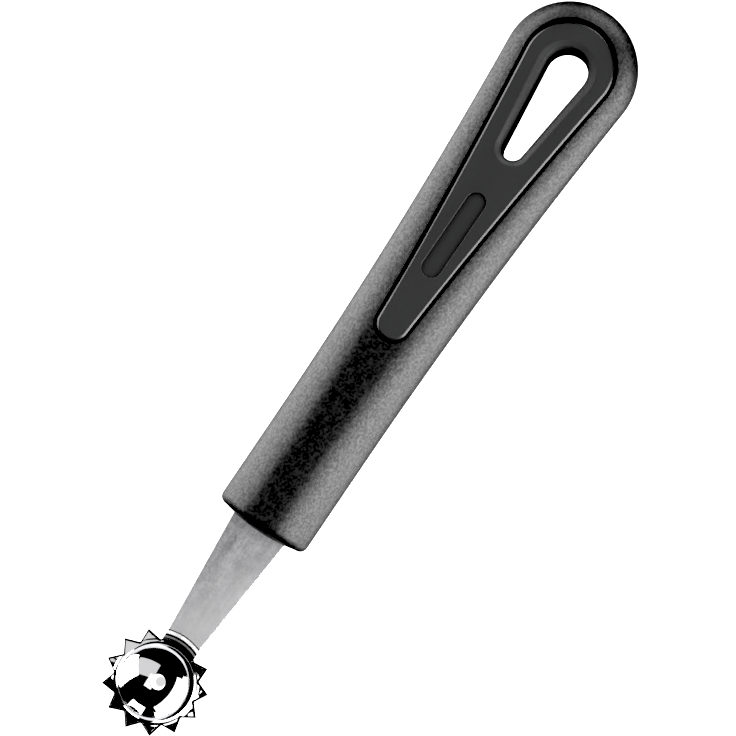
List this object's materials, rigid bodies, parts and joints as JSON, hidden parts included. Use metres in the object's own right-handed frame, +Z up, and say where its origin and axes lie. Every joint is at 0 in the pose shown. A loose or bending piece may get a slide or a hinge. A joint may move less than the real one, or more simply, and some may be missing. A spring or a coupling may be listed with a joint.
{
  "type": "tomato corer",
  "caption": "Tomato corer: a stamped steel scoop with a toothed rim and drain hole on a flat shank, in a grained plastic handle with smooth inlays and a hanging slot.",
  "frame": {"origin": "on the surface that the tool lies on, halfway along its length and width", "axes": "+X along the tool from scoop to butt, +Z up out of the face with the open bowl"},
  "size_m": [0.1726, 0.0276, 0.0186],
  "materials": {
    "blade_steel": "polished bowl, brushed shank",
    "shell_plastic": "fine moulded grain",
    "inlay_plastic": "smooth satin",
    "plug_plastic": "plain moulded"
  },
  "bodies": {
    "root": {"scoop_blade": "blade_steel", "plug_front": "plug_plastic", "plug_back": "plug_plastic", "handle_shell": "shell_plastic", "front_inlay": "inlay_plastic", "back_inlay": "inlay_plastic"}
  },
  "joints": []
}
